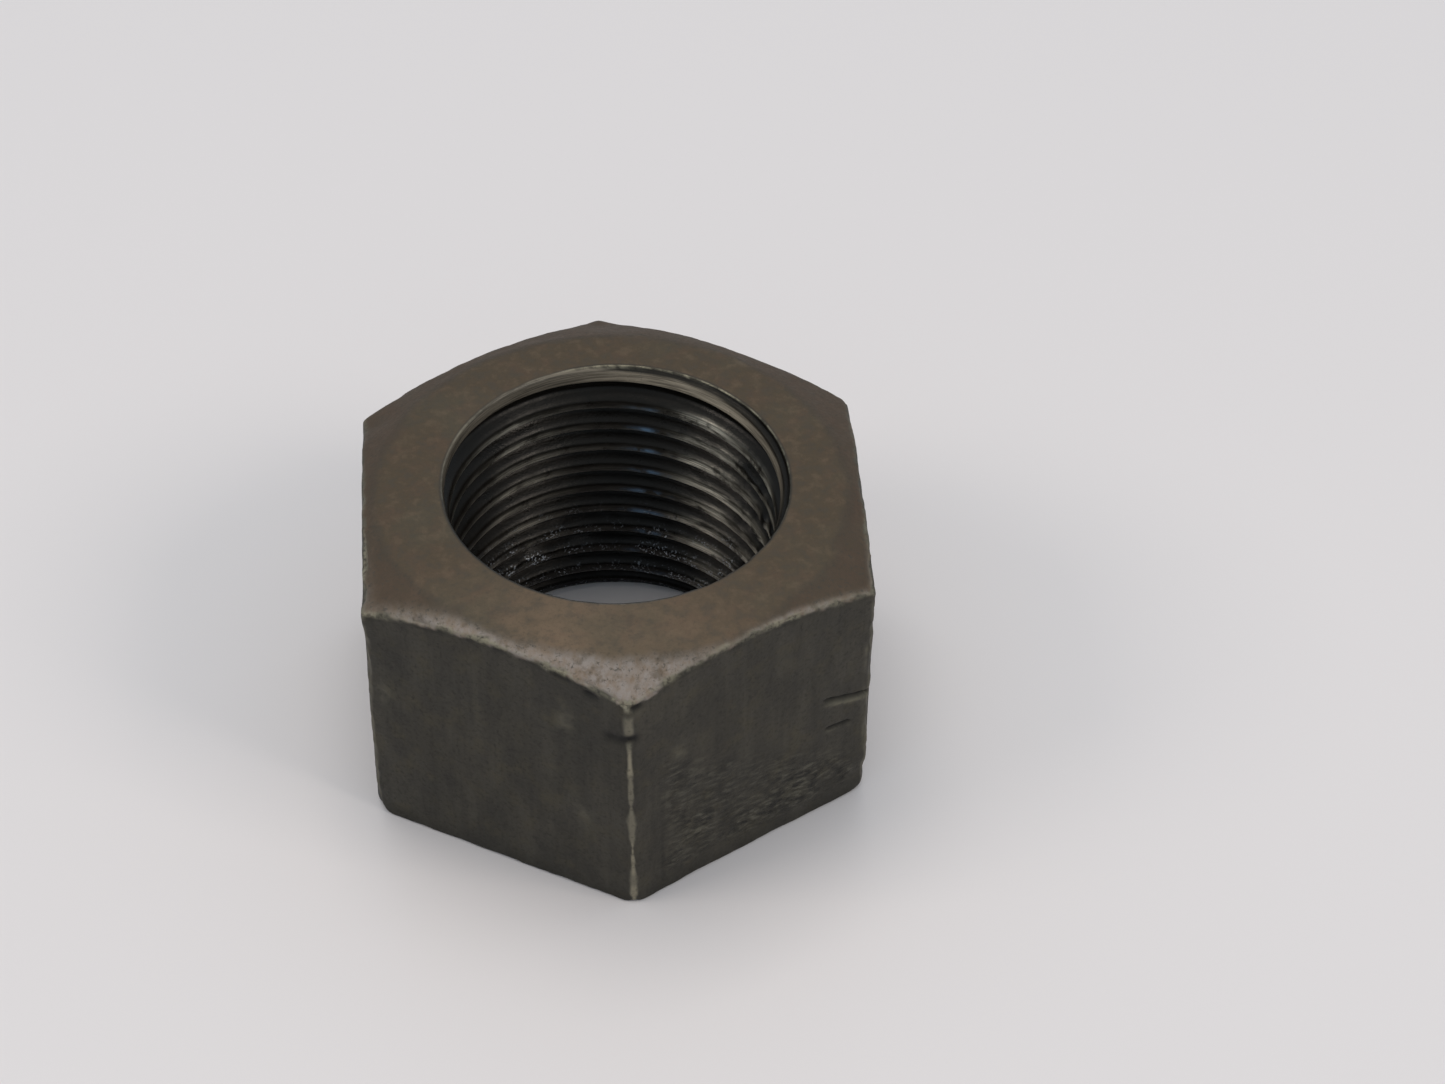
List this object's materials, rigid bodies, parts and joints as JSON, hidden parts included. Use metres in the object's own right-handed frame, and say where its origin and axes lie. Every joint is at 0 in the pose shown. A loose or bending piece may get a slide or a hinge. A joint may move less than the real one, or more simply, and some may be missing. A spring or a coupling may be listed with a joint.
{
  "type": "hex nut",
  "caption": "Plain hexagonal steel nut with a fine right-hand thread, chamfered on its upper face and trimmed at its lower corners.",
  "frame": {"origin": "centre of the lower bearing face, on the thread's axis", "axes": "+Z along the thread's axis, from the lower bearing face to the chamfered upper face; two wrench flats face +X and -X, two corners point to +Y and -Y"},
  "size_m": [0.027, 0.0312, 0.0167],
  "materials": {
    "nut_steel": "bare steel darkened by age and oil, worn brighter along its edges"
  },
  "bodies": {
    "root": {"hex_nut": "nut_steel"}
  },
  "joints": []
}
